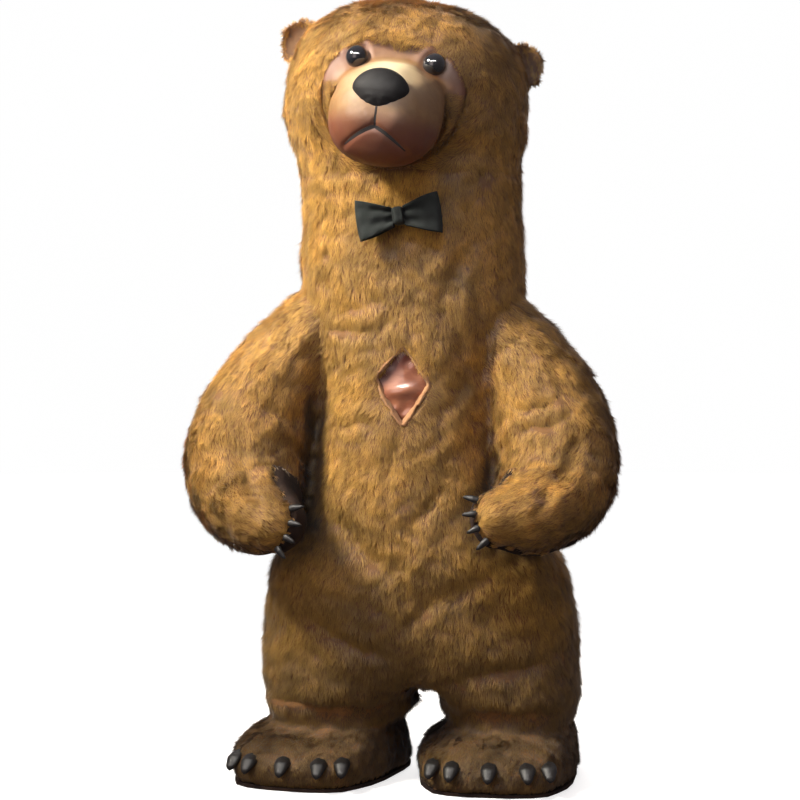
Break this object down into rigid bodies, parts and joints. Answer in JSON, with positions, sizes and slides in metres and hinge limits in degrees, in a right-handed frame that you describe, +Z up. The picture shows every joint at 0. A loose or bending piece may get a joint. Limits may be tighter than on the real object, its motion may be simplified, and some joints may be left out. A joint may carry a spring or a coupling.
{
  "type": "full-body bear mascot costume",
  "caption": "Full-body plush bear costume with sewn-on head, moulded face, clawed paws and boots, bow tie and back zip; worn shape, hollow, empty.",
  "frame": {"origin": "between the wearer's shoulders, where the suit hangs on the person, 1.26 m above the soles", "axes": "+Z up, the bear faces -Y, +X towards the bear's left"},
  "size_m": [1.115, 0.7637, 2.0003],
  "materials": {
    "body_plush": "long golden-brown plush",
    "ear_plush": "short plush on the ears",
    "satin_lining": "smooth glossy pink-orange lining",
    "zip_metal": "dulled metal zip",
    "dark_suede": "dark brown suede",
    "claw_black": "black moulded claws",
    "face_skin": "moulded tan face, matt",
    "nose_black": "black moulded nose",
    "eye_gloss": "glossy dark eyes",
    "mouth_felt": "black felt line",
    "bow_cloth": "black woven bow cloth"
  },
  "bodies": {
    "suit": {"body_back_L": "body_plush", "body_back_R": "body_plush", "body_front_L": "body_plush", "body_front_R": "body_plush", "boot_L": "body_plush", "boot_R": "body_plush", "boot_claw_L1": "claw_black", "boot_claw_L2": "claw_black", "boot_claw_L3": "claw_black", "boot_claw_L4": "claw_black", "boot_claw_L5": "claw_black", "boot_claw_R1": "claw_black", "boot_claw_R2": "claw_black", "boot_claw_R3": "claw_black", "boot_claw_R4": "claw_black", "boot_claw_R5": "claw_black", "bow_knot": "bow_cloth", "bow_loop_L": "bow_cloth", "bow_loop_R": "bow_cloth", "chest_lining": "satin_lining", "ear_back_L": "ear_plush", "ear_back_R": "ear_plush", "ear_inner_L": "ear_plush", "ear_inner_R": "ear_plush", "eye_L": "eye_gloss", "eye_R": "eye_gloss", "face": "face_skin", "head_gusset": "body_plush", "head_side_L": "body_plush", "head_side_R": "body_plush", "head_throat": "body_plush", "mouth": "mouth_felt", "nose": "nose_black", "paw_back_L": "body_plush", "paw_back_R": "body_plush", "paw_claw_L1": "claw_black", "paw_claw_L2": "claw_black", "paw_claw_L3": "claw_black", "paw_claw_L4": "claw_black", "paw_claw_R1": "claw_black", "paw_claw_R2": "claw_black", "paw_claw_R3": "claw_black", "paw_claw_R4": "claw_black", "paw_palm_L": "dark_suede", "paw_palm_R": "dark_suede", "sleeve_outer_L": "body_plush", "sleeve_outer_R": "body_plush", "sleeve_under_L": "body_plush", "sleeve_under_R": "body_plush", "sole_L": "dark_suede", "sole_R": "dark_suede", "zip_chain": "zip_metal", "zip_slider": "zip_metal"},
    "zip_pull": {"zip_pull": "zip_metal"}
  },
  "joints": [
    {"name": "pull_tab_swing", "type": "hinge", "parent": "suit", "child": "zip_pull", "pos_m": [-0.00631, 0.23298, 0.14522], "axis": [1, 0, 0], "range_deg": [0, 160]}
  ]
}
